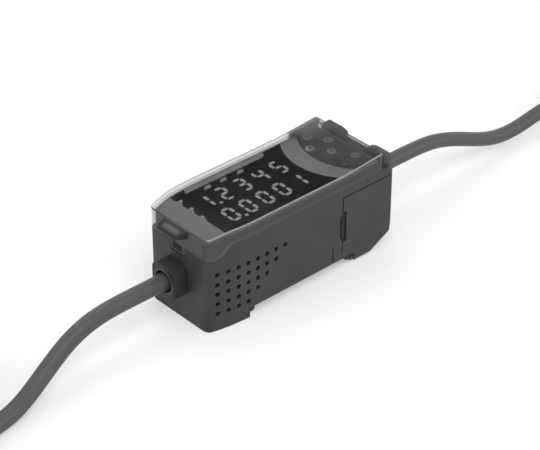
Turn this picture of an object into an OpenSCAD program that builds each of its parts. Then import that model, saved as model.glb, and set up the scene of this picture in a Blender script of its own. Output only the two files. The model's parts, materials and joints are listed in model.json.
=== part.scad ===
// Amplifier of a contact displacement sensor, for a 35 mm rail.
// X runs from the output cord to the sensor cord, Z is up, and the origin is under the middle.

/* [Case] */
// Length of the case between its two end faces
case_l = 64.5; // [54:0.5:78]
// Width of the case across its vented sides
case_w = 26.1; // [22:0.1:32]
// Height of the seam between the case and the hinged cover
seam_h = 25.2; // [21:0.1:31]
// Thickness of the case's side and end walls
wall_t = 1.8; // [1.6:0.1:2.2]
// Thickness of the case's floor
floor_t = 1.6; // [1.2:0.1:2]
// Length of the stretch at the output end where the sides curve inward
nose_l = 15.5; // [12:0.5:19]
// How far each side curves inward at the output end
nose_in = 2; // [1.5:0.1:2.4]
// Radius of the upright corners at the output end
corner_r = 2; // [1.6:0.1:2.4]
// Radius of the upright corners at the sensor end
rear_r = 0.8; // [0.5:0.1:1]

/* [Rail fit] */
// Width of the rail that the case sits on
rail_w = 35; // [30:0.5:40]
// Thickness of the rail's flange
rail_t = 1; // [0.8:0.1:1.2]
// Clearance round the rail
rail_gap = 0.1; // [0.05:0.05:0.2]
// Height of the recess between the feet
recess_h = 2.95; // [2.8:0.05:3.5]
// Distance from the rail's edge to the front foot's side plate
foot_back = 1.8; // [1.5:0.1:2.2]
// Length of the rear foot's level underside
foot_l = 6; // [5:0.5:7]
// Travel of the rail clip
clip_travel = 2.5; // [2:0.1:3]

/* [Hinged cover] */
// Height of the cover's level top above the seam
lid_h = 4.2; // [3.9:0.1:5]
// Thickness of the cover's moulding
lid_wall = 0.8; // [0.7:0.05:0.95]
// Clearance between the cover and what it covers
lid_gap = 0.3; // [0.25:0.05:0.35]
// Gap at the seam under the cover's skirt
seam_gap = 0.15; // [0.1:0.05:0.25]
// Radius of the cover's top edges
lid_r = 0.45; // [0.3:0.05:0.6]
// How far the cover's top falls at the output end
nose_drop = 0.9; // [0.7:0.1:1]
// Length of the falling stretch
nose_slope_l = 6.8; // [6:0.1:8]
// How far the cover's top rises at the sensor end
tail_rise = 1; // [0.8:0.1:1.2]
// Length of the rising stretch
tail_slope_l = 14.5; // [12:0.5:16]
// Distance from the case's sensor end to the end of the cover
lid_back = 4; // [3.8:0.1:4.4]
// How much deeper the skirt is at the output end
skirt_drop = 3.2; // [2.5:0.1:3.6]
// Width of the finger tab
tab_w = 9.2; // [8:0.1:10]
// How far the finger tab stands out
tab_out = 3.4; // [2.8:0.1:4]
// Width of the latch tongue under the tab
latch_w = 5.6; // [4.6:0.2:6.6]

/* [Hinge] */
// Height of the hinge axis above the seam
hinge_up = 1.2; // [1:0.1:1.4]
// Distance from the case's sensor end to the hinge axis
hinge_back = 1.6; // [1.5:0.05:1.7]
// Radius of the hinge stubs
stub_r = 0.8; // [0.6:0.05:0.85]
// Length of each hinge stub
stub_l = 3; // [2.4:0.1:3.6]
// Radial running clearance of the stubs
stub_gap = 0.05; // [0.03:0.01:0.08]
// Width of the cover's hinge tongue
tongue_w = 8.6; // [7:0.2:10]
// Height of the hinge lugs above the seam
lug_h = 3.3; // [3:0.1:3.4]

/* [Display and keys] */
// Depth of the deck below the cover's level top
deck_drop = 1.3; // [1.2:0.05:1.5]
// Thickness of the plates that lie on the deck
plate_t = 0.8; // [0.6:0.1:1]
// Thickness of the deck
deck_t = 1.2; // [1:0.1:1.4]
// Distance from the output end to the display window
window_x = 6.9; // [6:0.1:8]
// Width of the light rim beside the display window
rim_w = 0.55; // [0.4:0.05:0.8]
// Radius of the arc that ends the display window
arc_in_r = 18.7; // [17:0.1:20]
// Radius of the arc that starts the key field
arc_out_r = 17.4; // [16:0.1:19]
// Distance from the cover's sensor end to the crest of the window's arc
arc_in_x = 18.8; // [18:0.1:19.5]
// Distance from the cover's sensor end to the crest of the key field's arc
arc_out_x = 12.8; // [12.4:0.1:13.2]
// Clearance between the plates on the deck
plate_gap = 0.1; // [0.05:0.05:0.15]
// Radius of a key
key_r = 1.4; // [1.2:0.05:1.5]
// Clearance round a key
key_gap = 0.15; // [0.1:0.05:0.2]
// Travel of a key
key_travel = 0.3; // [0.2:0.05:0.3]
// How far a key stands above the key plate
key_proud = 0.2; // [0.15:0.05:0.3]
// Distance along the case from the middle of the arrow keys to the left and right ones
arrow_dx = 3.3; // [3.1:0.05:3.4]
// Distance across the case from the middle of the arrow keys to the up and down ones
arrow_dy = 4.8; // [4.2:0.1:4.8]
// Length of a slide switch's knob
knob_l = 1.8; // [1.5:0.1:2.1]
// Width of a slide switch's slot
slot_w = 1.5; // [1.2:0.1:1.6]
// Clearance of a knob in its slot
slot_gap = 0.1; // [0.05:0.05:0.15]
// Travel of the three-way mode switch
mode_travel = 3; // [2:0.1:3]
// Travel of the two-way threshold switch
threshold_travel = 1.5; // [1:0.1:2]

/* [Side covers] */
// Length of a connector cover
door_l = 18.6; // [17:0.1:20]
// Height of a connector cover's lower edge
door_z = 5.2; // [5:0.1:6]
// Distance from the seam to a connector cover's upper edge
door_drop = 3; // [2.6:0.1:3.6]
// Thickness of a connector cover's face
door_t = 0.7; // [0.6:0.05:0.75]
// Height of the tongues that guide a connector cover
door_rib = 0.4; // [0.3:0.05:0.5]
// Sliding clearance of a connector cover
door_gap = 0.1; // [0.05:0.05:0.15]
// Width of the shadow gap round a connector cover
door_line = 0.35; // [0.25:0.05:0.4]
// Travel of a connector cover
door_travel = 8; // [6:0.5:9]
// Height of the finger notch
notch_h = 9.6; // [8:0.1:11]

/* [Vents] */
// Diameter of a vent hole
vent_d = 1.4; // [1:0.1:1.8]
// Distance between the columns of vents
vent_dx = 3.16; // [2.6:0.02:3.2]
// Distance between the rows of vents
vent_dz = 3; // [2.4:0.02:3.2]
// Distance from the output end to the first column
vent_x = 3.1; // [3:0.1:3.6]
// Distance from the seam to the top row
vent_drop = 8; // [7.6:0.1:8.4]

/* [Cord ends] */
// Diameter of the output cord
output_d = 4.65; // [4:0.05:5]
// Height of the output cord's axis
output_z = 13; // [12.5:0.1:13.5]
// Diameter of the sensor cord
sensor_d = 4.25; // [3.8:0.05:4.6]
// Height of the sensor cord's axis
sensor_z = 15; // [14.5:0.1:15.5]
// How far each boss stands out of its end face
boss_l = 5.05; // [4.5:0.05:5.5]
// Width of a boss
boss_w = 8.6; // [8.2:0.1:9]
// Radius of the bushing in a boss
bush_r = 3.3; // [3.1:0.05:3.5]
// Depth of the bushing's face below the boss's rim
bush_in = 1.5; // [1:0.1:2]
// Clearance of a cord in its bushing
cord_gap = 0.05; // [0.02:0.01:0.08]

/* [Hidden] */
$fn = 48;

// Colours of the mouldings
dark = "#46464a";
darker = "#2c2c2e";
pale = "#8c8c8e";

// Ends of the case and of what sits on it
x_front = -case_l / 2;
x_rear = case_l / 2;
half_w = case_w / 2;
x_nose = x_front + nose_l;
lid_x1 = x_rear - lid_back;
frame_in = lid_wall + lid_gap;
frame_x1 = lid_x1 - frame_in;
cavity_z = recess_h + floor_t;
lid_top = seam_h + lid_h;
deck_z = lid_top - deck_drop;
deck_slope = nose_drop / nose_slope_l;
crease_x = lid_x1 - tail_slope_l;
roof_t = 1.6;

display_board_z = seam_h - 4;
display_board_t = 1;
switch_z = display_board_z + display_board_t;

// The curved side: a large arc that is tangent to the straight side and to the corner
side_r = (nose_l * nose_l + nose_in * nose_in) / (2 * nose_in);
side_cy = half_w - side_r;
corner_n = 5;

// Height of the cover's top and of the skirt's lower edge at a place along the case
function top_z(x) = lid_top
    - deck_slope * max(0, x_front + nose_slope_l - x)
    + tail_rise * max(0, x - crease_x) / tail_slope_l;
function ease(t) = t <= 0 ? 0 : t >= 1 ? 1 : t * t * (3 - 2 * t);
skirt_flat = 3.6;
skirt_run = 4.4;
function skirt_z(x) = seam_h - skirt_drop * (1 - ease((x - x_front - skirt_flat) / skirt_run));
skirt_xs = [for (k = [0:6]) x_front + skirt_flat + skirt_run * k / 6];
nose_xs = concat(skirt_xs, [for (k = [1:3])
    skirt_xs[6] + (x_nose - skirt_xs[6]) * k / 3]);

// Half of the plan outline, inset from the case's, from the output end to the far end x1
function half_plan(inset, x1) = let (
    r = max(0.3, corner_r - inset),
    big = side_r - inset,
    cx = x_front + inset + r,
    cy = side_cy + sqrt(pow(big - r, 2) - pow(x_nose - cx, 2)),
    turn = asin((x_nose - cx) / (big - r)),
    q = max(0.3, rear_r - inset)) concat(
    [for (i = [0:corner_n]) let (a = i * (90 - turn) / corner_n)
        [cx - r * cos(a), cy + r * sin(a)]],
    [for (x = nose_xs) [x, side_cy + sqrt(pow(big, 2) - pow(x_nose - x, 2))]],
    [[crease_x, half_w - inset]],
    [for (i = [0:2]) let (a = 45 * i)
        [x1 - q + q * sin(a), half_w - inset - q + q * cos(a)]]);

function flipped(pts) = [for (i = [len(pts) - 1:-1:0]) [pts[i].x, -pts[i].y]];

module plan(inset, x1) {
    half = half_plan(inset, x1);
    polygon(concat(half, flipped(half)));
}

module slab(inset, x1, z0, z1) {
    translate([0, 0, z0]) linear_extrude(z1 - z0) plan(inset, x1);
}

// A shape drawn in the X-Z plane, as wide as w about the middle or from y0 to y1
module across(y0, y1) {
    translate([0, y1, 0]) rotate([90, 0, 0]) linear_extrude(y1 - y0) children();
}

// A shape drawn in the Y-Z plane, from x0 to x1
module along(x0, x1) {
    translate([x0, 0, 0]) rotate([90, 0, 90]) linear_extrude(x1 - x0) children();
}

module both_sides() {
    children();
    mirror([0, 1, 0]) children();
}

module block(x0, x1, y0, y1, z0, z1) {
    translate([x0, y0, z0]) cube([x1 - x0, y1 - y0, z1 - z0]);
}

module bar_y(x, z, r, y0, y1) {
    translate([x, y1, z]) rotate([90, 0, 0]) cylinder(h = y1 - y0, r = r);
}

module bar_x(y, z, r, x0, x1) {
    translate([x0, y, z]) rotate([0, 90, 0]) cylinder(h = x1 - x0, r = r);
}

// A solid between two heights that vary along X, with its top edge rounded by the radius r
module lofted(inset, x1, drop, r, skirt_low) {
    n = len(half_plan(inset, x1));
    steps = r > 0 ? 3 : 0;
    rings = concat(
        [[inset, -1]],
        [for (k = [0:steps]) [inset + (steps ? r * (1 - cos(90 * k / steps)) : 0),
            steps ? r * (1 - sin(90 * k / steps)) : 0]]);
    m = len(rings);
    function z_of(p, low, d) = low ? skirt_z(p.x) - skirt_low : top_z(p.x) - drop - d;
    pts = [for (ring = rings) let (h = half_plan(ring[0], x1 - ring[0] + inset))
        for (p = concat(h, flipped(h))) [p.x, p.y, z_of(p, ring[1] < 0, ring[1])]];
    c = 2 * n;
    sides = [for (k = [0:m - 2]) for (i = [0:c - 1]) for (h = [0, 1])
        h ? [k * c + i, (k + 1) * c + (i + 1) % c, (k + 1) * c + i]
            : [k * c + i, k * c + (i + 1) % c, (k + 1) * c + (i + 1) % c]];
    bottom = [for (i = [0:n - 2]) [i, c - 1 - i, c - 2 - i, i + 1]];
    roof = [for (i = [0:n - 2]) let (o = (m - 1) * c)
        [o + i, o + i + 1, o + c - 2 - i, o + c - 1 - i]];
    polyhedron(points = pts, faces = concat(sides, bottom, roof), convexity = 6);
}

// Side view of the case: feet, rail recess and the chamfer under the sensor end
rear_foot_x = rail_w / 2 + 0.65;
rear_foot_z = 0.7;
front_foot_x = -rail_w / 2 - foot_back;
rear_top_c = 1.3;
chamfer_x = x_rear - 0.95;
module side_view() {
    polygon([[x_front, 0], [front_foot_x, 0], [front_foot_x, recess_h],
        [rear_foot_x, recess_h], [rear_foot_x, rear_foot_z],
        [min(rear_foot_x + foot_l, chamfer_x - 2), rear_foot_z], [chamfer_x, 4.3],
        [x_rear - 0.35, 6.45], [x_rear, seam_h - rear_top_c - 1],
        [x_rear, seam_h - rear_top_c], [x_rear - rear_top_c / 2, seam_h - 0.3],
        [x_rear - rear_top_c, seam_h],
        for (k = [6:-1:0]) [skirt_xs[k], skirt_z(skirt_xs[k])],
        [x_front, seam_h - skirt_drop]]);
}

// Outline of a boss: flat below, with two rounded upper corners
boss_top = 4.9;
boss_low = 3.4;
boss_r = 2.2;
module boss_shape(z) {
    square_w = boss_w - 2 * boss_r;
    translate([-boss_w / 2, z - boss_low]) square([boss_w, boss_low + boss_top - boss_r]);
    translate([-square_w / 2, z - boss_low]) square([square_w, boss_low + boss_top]);
    for (s = [-1, 1]) translate([s * square_w / 2, z + boss_top - boss_r]) circle(boss_r);
}

// Hinge
hinge_x = x_rear - hinge_back;
hinge_z = seam_h + hinge_up;
barrel_r = 1.3;
lug_y0 = tongue_w / 2 + lid_gap;
lug_y1 = half_w - frame_in;
lug_slope = 2.4;
lug_fall = 1.1;
module lug() {
    intersection() {
        across(lug_y0, lug_y1) polygon([[hinge_x - 1.45, seam_h - 0.5],
            [hinge_x - 1.45, seam_h + lug_h - 0.9], [hinge_x - 0.9, seam_h + lug_h - 0.2],
            [hinge_x - 0.4, seam_h + lug_h], [x_rear - 0.7, seam_h + lug_h],
            [x_rear - 0.2, seam_h + lug_h - 0.25], [x_rear, seam_h + lug_h - 0.8],
            [x_rear, seam_h - 2]]);
        along(hinge_x - 2, x_rear + 1) polygon([[lug_y0, seam_h - 2],
            [lug_y0, seam_h + lug_h - lug_fall], [lug_y0 + lug_slope, seam_h + lug_h],
            [lug_y1 - 0.6, seam_h + lug_h], [lug_y1, seam_h + lug_h - 0.6],
            [lug_y1, seam_h - 2]]);
    }
}

// Connector covers and the recess that each slides in
door_x0 = x_rear - door_l;
door_z1 = seam_h - door_drop;
rib_t = 0.5;
module door_recess() {
    block(door_x0 - door_line / 2, x_rear + 1, half_w - door_t - door_gap, half_w + 1,
        door_z - door_gap, door_z1 + door_line);
    block(door_x0, x_rear + 1, half_w - door_t - rib_t - door_gap,
        half_w - door_t + door_gap, door_z - door_rib - door_gap,
        door_z1 + door_rib + door_gap);
    notch_z = (door_z + door_z1) / 2 - 0.6;
    notch_r = 7.8;
    intersection() {
        translate([door_x0 + notch_r - 1.6, half_w + 0.01, notch_z]) rotate([90, 0, 0])
            cylinder(h = door_t + door_gap, r1 = notch_r, r2 = notch_r - 0.7);
        block(door_x0 - 4, door_x0 + 1, half_w - 2, half_w + 1,
            notch_z - notch_h / 2, notch_z + notch_h / 2);
    }
}

module door() {
    notch_z = (door_z + door_z1) / 2 - 0.6;
    difference() {
        intersection() {
            union() {
                block(door_x0 + door_line / 2, x_rear, half_w - door_t, half_w,
                    door_z, door_z1);
                block(door_x0 + door_line, x_rear - 0.5, half_w - door_t - rib_t,
                    half_w - door_t, door_z - door_rib, door_z1 + door_rib);
            }
            across(0, half_w) side_view();
            slab(0, x_rear, 0, seam_h);
        }
        block(door_x0 - 1, door_x0 + 1.35, half_w - door_t, half_w + 1,
            notch_z - notch_h / 2, notch_z + notch_h / 2);
    }
}

module side_cover_right() {
    color(dark) mirror([0, 1, 0]) door();
}

module side_cover_left() {
    color(dark) door();
}

// Vents, with the corner of the pattern cut off
vent_rows = [5, 5, 5, 5, 4, 3, 2, 1];
module vents() {
    for (i = [0:len(vent_rows) - 1]) for (j = [0:vent_rows[i] - 1])
        translate([x_front + vent_x + vent_dx * i, half_w + 1,
            seam_h - vent_drop - vent_dz * j])
            rotate([90, 0, 0]) cylinder(h = wall_t + nose_in + 1.2, d = vent_d, $fn = 24);
}

// Rail clip, its guide in the rear foot and the fixed hooks in the front foot
clip_x0 = rail_w / 2 - 2;
clip_stop = rail_w / 2 + rail_gap;
clip_half = half_w - 2.5;
nose_half = half_w - 0.8;
clip_x1 = min(rear_foot_x + foot_l, chamfer_x - 2) + 2;
lip_z = recess_h - rail_t - rail_gap;
guide_z = 1.2;
guide_h = 0.9;
guide_w = 0.8;
peg_x = clip_x1 - 2;
peg_l = 1.2;
peg_w = 2.2;
clip_gap = 0.1;
spring_d = 2;
spring_wire = 0.36;
pocket_half = 1.4;
module clip_guide() {
    block(rear_foot_x - 1, x_rear, -clip_half - clip_gap, clip_half + clip_gap,
        -1, recess_h);
    block(rear_foot_x - 1, rear_foot_x + clip_travel + 0.3, -nose_half - clip_gap,
        nose_half + clip_gap, -1, recess_h);
    both_sides() block(rear_foot_x - 1, clip_x1 + clip_travel + 0.5, 0,
        clip_half + guide_w + clip_gap, guide_z - clip_gap,
        guide_z + guide_h + clip_gap);
}

module rail_clip() {
    rib_half = clip_half + guide_w;
    color(darker) difference() {
        across(-nose_half, nose_half) polygon([[clip_x0, lip_z], [clip_x0, lip_z - 0.35],
            [clip_x0 + 3.1, 0], [clip_x1 - 0.8, 0], [clip_x1, 0.8],
            [clip_x1, recess_h - 0.1], [clip_stop, recess_h - 0.1], [clip_stop, lip_z]]);
        both_sides() {
            block(rear_foot_x, x_rear, clip_half, half_w, -1, guide_z);
            block(rear_foot_x, x_rear, clip_half, half_w, guide_z + guide_h, recess_h);
            block(rear_foot_x, x_rear, rib_half, half_w, guide_z - 0.1, recess_h);
            block(clip_x1 - 1, x_rear, clip_half, half_w, guide_z - 0.1, recess_h);
        }
        block(clip_stop + 1.3, peg_x + peg_l + clip_gap, -pocket_half, pocket_half,
            0.35, recess_h);
        block(clip_x1 - 1.2, clip_x1 - 0.5, -3, 3, -1, 1.2);
    }
}

// Coil spring of the clip, swept round its own axis along X
spring_turns = 5;
spring_x0 = clip_stop + 1.35;
spring_x1 = peg_x - 0.15 - clip_travel;
module clip_spring() {
    steps = 10 * spring_turns;
    r = (spring_d - spring_wire) / 2;
    mid = [for (i = [0:steps]) let (a = 36 * i)
        [spring_x0 + spring_wire / 2 + (spring_x1 - spring_x0 - spring_wire) * i / steps,
            r * cos(a), 1.6 + r * sin(a)]];
    color("#b8b8bc") tube(mid, spring_wire, 6);
}

// Tube swept along points, with its rings square to the path
function unit(v) = v / norm(v);
function heading(p, i) = unit(p[min(i + 1, len(p) - 1)] - p[max(i - 1, 0)]);
function side_of(t) = unit(cross(abs(t.z) > 0.9 ? [1, 0, 0] : [0, 0, 1], t));
module tube(path, d, sides) {
    n = len(path);
    pts = [for (i = [0:n - 1]) let (t = heading(path, i), u = side_of(t), v = cross(t, u))
        for (k = [0:sides - 1]) path[i] + d / 2 * (cos(360 * k / sides) * u
            + sin(360 * k / sides) * v)];
    walls = [for (i = [0:n - 2]) for (k = [0:sides - 1])
        [i * sides + k, (i + 1) * sides + k, (i + 1) * sides + (k + 1) % sides,
            i * sides + (k + 1) % sides]];
    ends = [[for (k = [0:sides - 1]) k],
        [for (k = [sides - 1:-1:0]) (n - 1) * sides + k]];
    polyhedron(points = pts, faces = concat(walls, ends), convexity = 10);
}

// Case
post_r = 1.3;
post_x = [front_foot_x + 2.5, x_rear - 8];
post_y = half_w - wall_t - 3;
board_z = cavity_z + 3.2;
board_t = 1.2;
nub_w = latch_w - 2.4;
module case_body() {
    color(dark) difference() {
        union() {
            intersection() {
                slab(0, x_rear, 0, seam_h);
                across(-half_w, half_w) side_view();
            }
            intersection() {
                slab(frame_in, x_rear - 2, seam_h - skirt_drop - 2, seam_h);
                block(x_front, x_front + 12, -half_w, half_w, 0, lid_top);
            }
            both_sides() lug();
            along(x_front - boss_l, x_front + wall_t) boss_shape(output_z);
            along(x_rear - wall_t, x_rear + boss_l) boss_shape(sensor_z);
        }
        block(x_front - 1, x_front + frame_in, -latch_w / 2 - 0.2, latch_w / 2 + 0.2,
            nub_z - 2.2, seam_h + 1);
        cavity();
        clip_guide();
        both_sides() vents();
        both_sides() door_recess();
        both_sides() block(door_x0 + 4, door_x0 + 13, half_w - wall_t - 1, half_w,
            connector_z0 - 0.3, connector_z1 + 0.3);
        both_sides() block(door_x0 - 3.6, door_x0 - 3.25, half_w - wall_t - 1, half_w + 1,
            recess_h - 1, door_z + 2.9);
        bar_x(0, output_z, bush_r, x_front - boss_l - 1, x_front + wall_t + 1);
        bar_x(0, sensor_z, bush_r, x_rear - wall_t - 1, x_rear + boss_l + 1);
        both_sides() bar_y(hinge_x, hinge_z, stub_r + stub_gap, lug_y0 - 1,
            tongue_w / 2 + stub_l + 0.3);
        bar_y(hinge_x, hinge_z, barrel_r + lid_gap, -lug_y0, lug_y0);
        block(lid_x1 - 1.2, hinge_x, -lug_y0, lug_y0, seam_h - 0.35, seam_h + 2);
    }
    color(dark) for (x = post_x, s = [-1, 1]) translate([x, s * post_y, cavity_z - 0.1])
        cylinder(h = board_z - cavity_z + 0.1, r = post_r);
    color(dark) across(-nub_w / 2, nub_w / 2) polygon([
        [x_front + frame_in + 0.1, nub_z + 0.7], [x_front + lid_wall + 0.05, nub_z - 0.1],
        [x_front + lid_wall + 0.05, nub_z - 0.5], [x_front + frame_in + 0.1, nub_z - 0.9]]);
    color(dark) translate([peg_x, -peg_w / 2, 0.8])
        cube([peg_l, peg_w, recess_h - 0.7]);
    color(dark) both_sides() {
        block(front_foot_x - 0.1, -rail_w / 2 - rail_gap, 3, half_w - 1.5, 0.3,
            recess_h + 0.1);
        across(3, half_w - 1.5) polygon([[front_foot_x - 0.1, 0.3],
            [-rail_w / 2 + 0.7, 0.3], [-rail_w / 2 + 1.1, 0.8], [-rail_w / 2 + 1.1, lip_z],
            [front_foot_x - 0.1, lip_z]]);
    }
}

// Inside of the case: open at the top up to the frame, and roofed behind it
nub_z = seam_h - skirt_drop - 0.3;
module cavity() {
    slab(wall_t, x_rear - wall_t, cavity_z, seam_h - roof_t);
    slab(wall_t, frame_x1 - 0.6, seam_h - roof_t - 0.1, seam_h + 0.1);
    intersection() {
        slab(wall_t, x_rear - wall_t, floor_t, cavity_z + 0.1);
        block(x_front, front_foot_x - wall_t, -half_w, half_w, 0, cavity_z + 0.1);
    }
}

// Display window, key field and deck
window_x0 = x_front + window_x;
arc_in_c = lid_x1 - arc_in_x + arc_in_r;
arc_out_c = lid_x1 - arc_out_x + arc_out_r;
panel_in = frame_in + rim_w;
deck_top = deck_z - plate_t;
frame_wall = 0.6;
lip_h = 2;
window_lip = 0.4;
module window_shape(grow) {
    difference() {
        intersection() {
            plan(panel_in - grow, frame_x1);
            translate([window_x0 - grow, -half_w]) square([case_l, case_w]);
        }
        translate([arc_in_c, 0]) circle(arc_in_r - grow, $fn = 96);
        translate([arc_in_c, -half_w]) square([case_l, case_w]);
    }
}

module key_field_shape(grow) {
    intersection() {
        plan(panel_in - grow, frame_x1 - rim_w + grow);
        union() {
            translate([arc_out_c, 0]) circle(arc_out_r + grow, $fn = 96);
            translate([arc_out_c - 3, -half_w]) square([case_l, case_w]);
        }
    }
}

// Side view of everything below a height that follows the cover's fall at the output end
module under_deck(z) {
    across(-half_w, half_w) polygon([[x_front, seam_h - 6], [x_rear, seam_h - 6], [x_rear, z],
        [x_front + nose_slope_l, z], [x_front, z - nose_drop]]);
}

// Places of the keys and the slide switches on the deck
arrow_x = frame_x1 - 5.95;
arrow_y = 4.4;
enter_x = frame_x1 - 2.55;
enter_y = -6.2;
mode_x = frame_x1 - 8.15;
threshold_x = frame_x1 - 5.55;
slider_y = -6.2;
key_at = [[arrow_x, arrow_y + arrow_dy], [arrow_x, arrow_y - arrow_dy],
    [arrow_x - arrow_dx, arrow_y], [arrow_x + arrow_dx, arrow_y], [enter_x, enter_y]];

module slot(x, travel, z0, z1) {
    half = (knob_l + travel) / 2 + slot_gap;
    block(x - slot_w / 2, x + slot_w / 2, slider_y - half, slider_y + half, z0, z1);
}

module key_openings(z0, z1) {
    for (p = key_at) translate([p.x, p.y, z0]) cylinder(h = z1 - z0, r = key_r + key_gap);
    slot(mode_x, mode_travel, z0, z1);
    slot(threshold_x, threshold_travel, z0, z1);
}

module top_frame() {
    color(darker) difference() {
        union() {
            intersection() {
                slab(frame_in, frame_x1, seam_h, lid_top);
                under_deck(deck_top);
            }
            intersection() {
                slab(wall_t + 0.1, frame_x1, seam_h - lip_h, seam_h + 0.1);
                block(x_front, crease_x, -half_w, half_w, 0, lid_top);
            }
        }
        intersection() {
            slab(frame_in + frame_wall, frame_x1 - frame_wall, seam_h + 0.15, lid_top);
            under_deck(deck_top - deck_t);
            block(x_front + 5, x_rear, -half_w, half_w, seam_h, lid_top);
        }
        intersection() {
            slab(wall_t + 0.9, frame_x1, seam_h - 3, seam_h + 0.2);
            block(x_front, crease_x, -half_w, half_w, 0, lid_top);
        }
        intersection() {
            slab(frame_in + frame_wall, frame_x1 - frame_wall, seam_h - 1, seam_h + 0.2);
            block(crease_x, x_rear, -half_w, half_w, 0, lid_top);
        }
        translate([0, 0, deck_top - deck_t - 2]) linear_extrude(deck_t + 3)
            window_shape(-window_lip);
        key_openings(deck_top - deck_t - 1, deck_top + 1);
    }
    color(darker) for (p = frame_pegs) translate([p.x, p.y, display_board_z + display_board_t])
        cylinder(h = deck_top - deck_t + 0.1 - display_board_z - display_board_t, r = 0.9);
}

module bezel_plate() {
    color(pale) difference() {
        intersection() {
            slab(frame_in, frame_x1, seam_h, lid_top);
            under_deck(deck_z);
        }
        under_deck(deck_top);
        translate([0, 0, deck_top - 1]) linear_extrude(plate_t + 2) window_shape(plate_gap);
        translate([0, 0, deck_top - 1]) linear_extrude(plate_t + 2)
            key_field_shape(plate_gap);
    }
}

module display_window() {
    color("#161618") translate([0, 0, deck_top]) linear_extrude(plate_t) window_shape(0);
}

module key_plate() {
    color(darker) difference() {
        translate([0, 0, deck_top]) linear_extrude(plate_t) key_field_shape(0);
        key_openings(deck_top - 1, deck_z + 1);
    }
}

// Keys: a cap that passes the deck, and a flange that stays under it
flange_t = 0.7;
flange_z = deck_top - deck_t - 0.1 - flange_t;
stem_z = switch_z + 2 + key_travel + 0.05;
module key(i) {
    z1 = deck_z + key_proud;
    p = key_at[i];
    color("#3c3c3e") translate([p.x, p.y, 0]) {
        translate([0, 0, flange_z]) rotate_extrude() polygon([[0, 0], [key_r + 0.25, 0],
            [key_r + 0.25, flange_t], [key_r, flange_t], [key_r, z1 - flange_z - 0.25],
            [key_r - 0.25, z1 - flange_z], [0, z1 - flange_z]]);
        translate([0, 0, stem_z]) cylinder(h = flange_z - stem_z + 0.1, r = 0.75);
    }
}

module up_key() { key(0); }
module down_key() { key(1); }
module left_key() { key(2); }
module right_key() { key(3); }
module enter_key() { key(4); }

// Push switches on the display board, one under each key
module push_switch(i) {
    p = key_at[i];
    color("#2a2a2c") translate([p.x - 1.5, p.y - 1.5, switch_z]) cube([3, 3, 1.5]);
    color("#d8d8d8") translate([p.x, p.y, switch_z + 1.4]) cylinder(h = 0.6, r = 0.8);
}

module up_switch() { push_switch(0); }
module down_switch() { push_switch(1); }
module left_switch() { push_switch(2); }
module right_switch() { push_switch(3); }
module enter_switch() { push_switch(4); }

// Slide switches: a knob in its slot, carried by a plate under the deck
module slider(x, travel) {
    y0 = slider_y - travel / 2;
    half = slot_w / 2 - slot_gap;
    color("#565658") {
        block(x - half, x + half, y0 - knob_l / 2, y0 + knob_l / 2, flange_z + 0.1,
            deck_z + key_proud);
        block(x - 1, x + 1, y0 - knob_l / 2, y0 + knob_l / 2, flange_z,
            flange_z + flange_t);
        block(x - 0.5, x + 0.5, y0 - 0.5, y0 + 0.5, switch_z + 1.2, flange_z + 0.1);
    }
}

module mode_slider() { slider(mode_x, mode_travel); }
module threshold_slider() { slider(threshold_x, threshold_travel); }

module slide_switch_body(x, travel) {
    color("#8a8a8c") difference() {
        block(x - 1.15, x + 1.15, slider_y - 3.3, slider_y + 3.3, switch_z, switch_z + 1.8);
        block(x - 0.6, x + 0.6, slider_y - travel / 2 - 0.6, slider_y + travel / 2 + 0.6,
            switch_z + 1.1, switch_z + 2);
    }
}

module mode_switch_body() { slide_switch_body(mode_x, mode_travel); }
module threshold_switch_body() { slide_switch_body(threshold_x, threshold_travel); }

// Boards
frame_pegs = [[x_front + 5.5, half_w - 5.2], [x_front + 5.5, -half_w + 5.2],
    [frame_x1 - 2.5, half_w - 3.6], [frame_x1 - 2.5, -half_w + 3.6]];
module display_board() {
    color("#2f5d3a") difference() {
        slab(wall_t + 1.1, frame_x1 - 1.7, display_board_z, switch_z);
        block(x_front, x_front + 4, -half_w, half_w, display_board_z - 1, switch_z + 1);
    }
}

module main_board() {
    color("#2f5d3a") difference() {
        slab(wall_t + 0.3, x_rear - wall_t - 0.4, board_z, board_z + board_t);
        block(x_front, x_front + 6.5, -half_w, half_w, board_z - 1, board_z + board_t + 1);
        both_sides() block(x_front, x_rear, half_w - wall_t - 0.5, half_w,
            board_z - 1, board_z + board_t + 1);
    }
}

module board_link() {
    color("#303032") block(x_front + 14, x_front + 26, half_w - wall_t - 4.6,
        half_w - wall_t - 2, board_z + board_t, display_board_z);
}

// Display modules, one below the other seen from the side
digit_x0 = window_x0 + 4.05;
digit_x1 = lid_x1 - arc_in_x - window_lip - 0.1;
row_h = 8.15;
module digit_block(y, back, pitch, w) {
    color("#1c1c1e") difference() {
        block(digit_x0, digit_x1, y, y + row_h, switch_z, deck_top - 0.1);
        for (i = [0:4]) block(digit_x1 - back - w - pitch * i, digit_x1 - back - pitch * i,
            y + 0.5, y + row_h - 0.5, deck_top - 0.5, deck_top);
    }
}

module main_display() { digit_block(0.5, 0.35, 6.35, 4); }
module sub_display() { digit_block(-8.05, 0.9, 5.875, 4.2); }

// Light guides: three under the window's upper edge, three at its output end
module light(x, y, lx, ly) {
    color("#c8c8c8") block(x - lx / 2, x + lx / 2, y - ly / 2, y + ly / 2, switch_z,
        deck_top - 0.1);
}

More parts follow.
